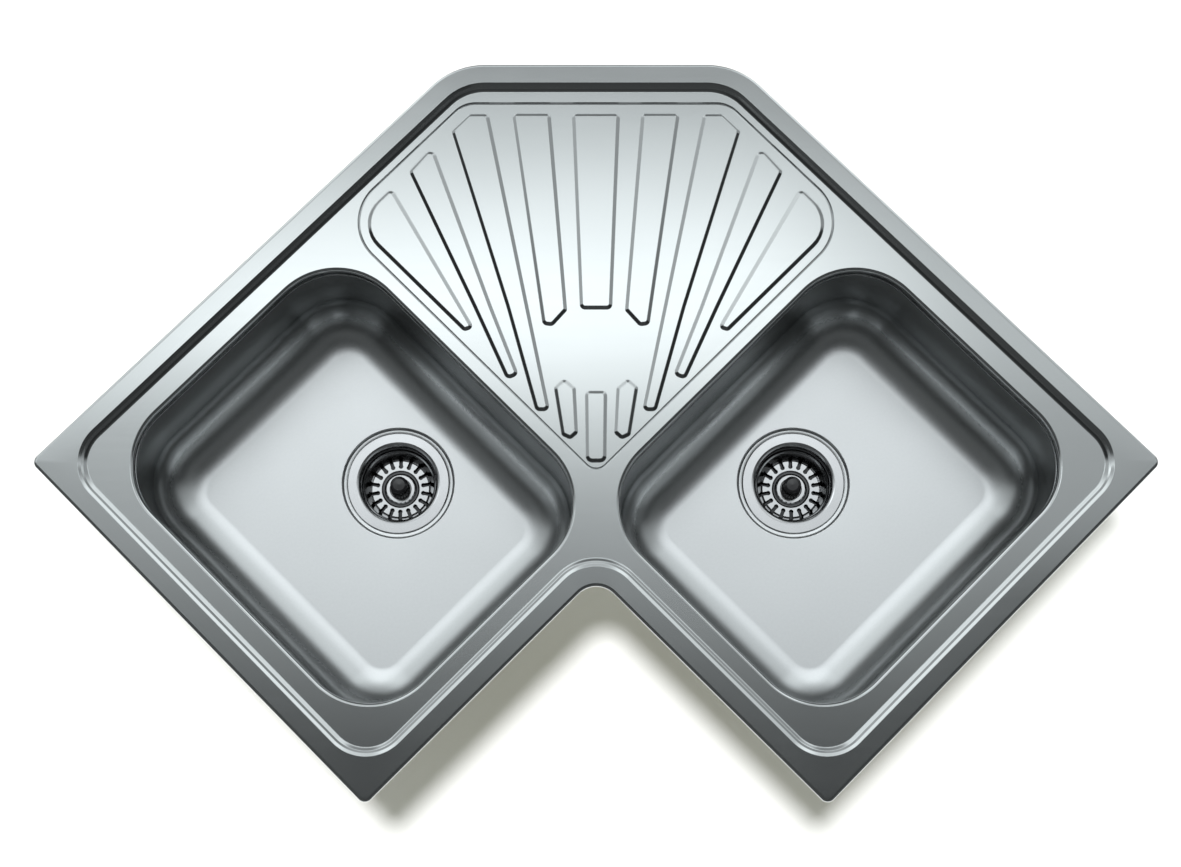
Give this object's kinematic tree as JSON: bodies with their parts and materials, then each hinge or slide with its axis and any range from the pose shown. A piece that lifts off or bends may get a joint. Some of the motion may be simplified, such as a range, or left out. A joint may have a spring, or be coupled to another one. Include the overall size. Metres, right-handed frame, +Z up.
{
  "type": "corner kitchen sink",
  "caption": "Inset stainless corner sink with a bowl in each arm, a ribbed drainer in the cut-off back corner, basket strainers and swing-out clamps.",
  "frame": {"origin": "on the worktop surface, on the centre line, 546.5 mm in front of the virtual back corner where the two wall edges would meet, which is midway between the cut-off corner's edge and the arm tips", "axes": "+X to the right along the longest extent, +Y towards the back corner, +Z up"},
  "size_m": [1.1662, 0.7847, 0.2532],
  "materials": {
    "deck_steel": "satin stainless steel",
    "bowl_steel": "brushed stainless steel",
    "strainer_steel": "polished stainless steel",
    "seal_rubber": "matt",
    "foam_seal": "closed-cell foam",
    "pad": "matt bituminous pad",
    "knob_plastic": "black, glossy",
    "waste_plastic": "white polypropylene",
    "zinc_steel": "zinc plated",
    "screw_steel": "plain stainless steel"
  },
  "bodies": {
    "sink": {"deck": "deck_steel", "bowl_left": "bowl_steel", "bowl_right": "bowl_steel", "rim_seal": "foam_seal", "damping_pad_left": "pad", "damping_pad_right": "pad", "clamp_brackets": "zinc_steel", "clamp_pins": "zinc_steel", "strainer_cup_left": "strainer_steel", "flange_gasket_left": "seal_rubber", "under_gasket_left": "seal_rubber", "waste_body_left": "waste_plastic", "screw_washer_left": "screw_steel", "centre_screw_left": "screw_steel", "strainer_cup_right": "strainer_steel", "flange_gasket_right": "seal_rubber", "under_gasket_right": "seal_rubber", "waste_body_right": "waste_plastic", "screw_washer_right": "screw_steel", "centre_screw_right": "screw_steel"},
    "clamp_arm_back": {"clamp_arm_back": "zinc_steel"},
    "clamp_screw_back": {"clamp_screw_back": "zinc_steel"},
    "clamp_arm_left_wall_inner": {"clamp_arm_left_wall_inner": "zinc_steel"},
    "clamp_screw_left_wall_inner": {"clamp_screw_left_wall_inner": "zinc_steel"},
    "clamp_arm_left_wall_outer": {"clamp_arm_left_wall_outer": "zinc_steel"},
    "clamp_screw_left_wall_outer": {"clamp_screw_left_wall_outer": "zinc_steel"},
    "clamp_arm_left_end": {"clamp_arm_left_end": "zinc_steel"},
    "clamp_screw_left_end": {"clamp_screw_left_end": "zinc_steel"},
    "clamp_arm_left_front": {"clamp_arm_left_front": "zinc_steel"},
    "clamp_screw_left_front": {"clamp_screw_left_front": "zinc_steel"},
    "clamp_arm_right_wall_inner": {"clamp_arm_right_wall_inner": "zinc_steel"},
    "clamp_screw_right_wall_inner": {"clamp_screw_right_wall_inner": "zinc_steel"},
    "clamp_arm_right_wall_outer": {"clamp_arm_right_wall_outer": "zinc_steel"},
    "clamp_screw_right_wall_outer": {"clamp_screw_right_wall_outer": "zinc_steel"},
    "clamp_arm_right_end": {"clamp_arm_right_end": "zinc_steel"},
    "clamp_screw_right_end": {"clamp_screw_right_end": "zinc_steel"},
    "clamp_arm_right_front": {"clamp_arm_right_front": "zinc_steel"},
    "clamp_screw_right_front": {"clamp_screw_right_front": "zinc_steel"},
    "basket_left": {"basket_left": "strainer_steel", "basket_knob_left": "knob_plastic", "basket_seal_left": "seal_rubber", "basket_collar_left": "seal_rubber", "basket_spindle_left": "screw_steel"},
    "basket_right": {"basket_right": "strainer_steel", "basket_knob_right": "knob_plastic", "basket_seal_right": "seal_rubber", "basket_collar_right": "seal_rubber", "basket_spindle_right": "screw_steel"}
  },
  "joints": [
    {"name": "clamp_swing_back", "type": "hinge", "parent": "sink", "child": "clamp_arm_back", "pos_m": [0, 0.3615, -0.013], "axis": [1, 0, 0], "range_deg": [0, 30]},
    {"name": "clamp_tighten_back", "type": "slide", "parent": "clamp_arm_back", "child": "clamp_screw_back", "axis": [0, 0, 1], "range_m": [0, 0.0057]},
    {"name": "clamp_swing_left_wall_inner", "type": "hinge", "parent": "sink", "child": "clamp_arm_left_wall_inner", "pos_m": [-0.30901, 0.19082, -0.013], "axis": [0.7071, 0.7071, 0], "range_deg": [0, 30]},
    {"name": "clamp_tighten_left_wall_inner", "type": "slide", "parent": "clamp_arm_left_wall_inner", "child": "clamp_screw_left_wall_inner", "axis": [0, 0, 1], "range_m": [0, 0.0057]},
    {"name": "clamp_swing_left_wall_outer", "type": "hinge", "parent": "sink", "child": "clamp_arm_left_wall_outer", "pos_m": [-0.48578, 0.01405, -0.013], "axis": [0.7071, 0.7071, 0], "range_deg": [0, 30]},
    {"name": "clamp_tighten_left_wall_outer", "type": "slide", "parent": "clamp_arm_left_wall_outer", "child": "clamp_screw_left_wall_outer", "axis": [0, 0, 1], "range_m": [0, 0.0057]},
    {"name": "clamp_swing_left_end", "type": "hinge", "parent": "sink", "child": "clamp_arm_left_end", "pos_m": [-0.38679, -0.19384, -0.013], "axis": [-0.7071, 0.7071, 0], "range_deg": [0, 30]},
    {"name": "clamp_tighten_left_end", "type": "slide", "parent": "clamp_arm_left_end", "child": "clamp_screw_left_end", "axis": [0, 0, 1], "range_m": [0, 0.0057]},
    {"name": "clamp_swing_left_front", "type": "hinge", "parent": "sink", "child": "clamp_arm_left_front", "pos_m": [-0.14001, -0.25394, -0.013], "axis": [-0.7071, -0.7071, 0], "range_deg": [0, 30]},
    {"name": "clamp_tighten_left_front", "type": "slide", "parent": "clamp_arm_left_front", "child": "clamp_screw_left_front", "axis": [0, 0, 1], "range_m": [0, 0.0057]},
    {"name": "clamp_swing_right_wall_inner", "type": "hinge", "parent": "sink", "child": "clamp_arm_right_wall_inner", "pos_m": [0.30901, 0.19082, -0.013], "axis": [0.7071, -0.7071, 0], "range_deg": [0, 30]},
    {"name": "clamp_tighten_right_wall_inner", "type": "slide", "parent": "clamp_arm_right_wall_inner", "child": "clamp_screw_right_wall_inner", "axis": [0, 0, 1], "range_m": [0, 0.0057]},
    {"name": "clamp_swing_right_wall_outer", "type": "hinge", "parent": "sink", "child": "clamp_arm_right_wall_outer", "pos_m": [0.48578, 0.01405, -0.013], "axis": [0.7071, -0.7071, 0], "range_deg": [0, 30]},
    {"name": "clamp_tighten_right_wall_outer", "type": "slide", "parent": "clamp_arm_right_wall_outer", "child": "clamp_screw_right_wall_outer", "axis": [0, 0, 1], "range_m": [0, 0.0057]},
    {"name": "clamp_swing_right_end", "type": "hinge", "parent": "sink", "child": "clamp_arm_right_end", "pos_m": [0.38679, -0.19384, -0.013], "axis": [-0.7071, -0.7071, 0], "range_deg": [0, 30]},
    {"name": "clamp_tighten_right_end", "type": "slide", "parent": "clamp_arm_right_end", "child": "clamp_screw_right_end", "axis": [0, 0, 1], "range_m": [0, 0.0057]},
    {"name": "clamp_swing_right_front", "type": "hinge", "parent": "sink", "child": "clamp_arm_right_front", "pos_m": [0.14001, -0.25394, -0.013], "axis": [-0.7071, 0.7071, 0], "range_deg": [0, 30]},
    {"name": "clamp_tighten_right_front", "type": "slide", "parent": "clamp_arm_right_front", "child": "clamp_screw_right_front", "axis": [0, 0, 1], "range_m": [0, 0.0057]},
    {"name": "basket_lift_left", "type": "slide", "parent": "sink", "child": "basket_left", "axis": [0, 0, 1], "range_m": [0, 0.26]},
    {"name": "basket_lift_right", "type": "slide", "parent": "sink", "child": "basket_right", "axis": [0, 0, 1], "range_m": [0, 0.26]}
  ],
  "couplings": [
    {"joint": "clamp_tighten_back", "follows": "clamp_swing_back", "m_per_rad": 0.0105},
    {"joint": "clamp_tighten_left_wall_inner", "follows": "clamp_swing_left_wall_inner", "m_per_rad": 0.0105},
    {"joint": "clamp_tighten_left_wall_outer", "follows": "clamp_swing_left_wall_outer", "m_per_rad": 0.0105},
    {"joint": "clamp_tighten_left_end", "follows": "clamp_swing_left_end", "m_per_rad": 0.0105},
    {"joint": "clamp_tighten_left_front", "follows": "clamp_swing_left_front", "m_per_rad": 0.0105},
    {"joint": "clamp_tighten_right_wall_inner", "follows": "clamp_swing_right_wall_inner", "m_per_rad": 0.0105},
    {"joint": "clamp_tighten_right_wall_outer", "follows": "clamp_swing_right_wall_outer", "m_per_rad": 0.0105},
    {"joint": "clamp_tighten_right_end", "follows": "clamp_swing_right_end", "m_per_rad": 0.0105},
    {"joint": "clamp_tighten_right_front", "follows": "clamp_swing_right_front", "m_per_rad": 0.0105}
  ]
}
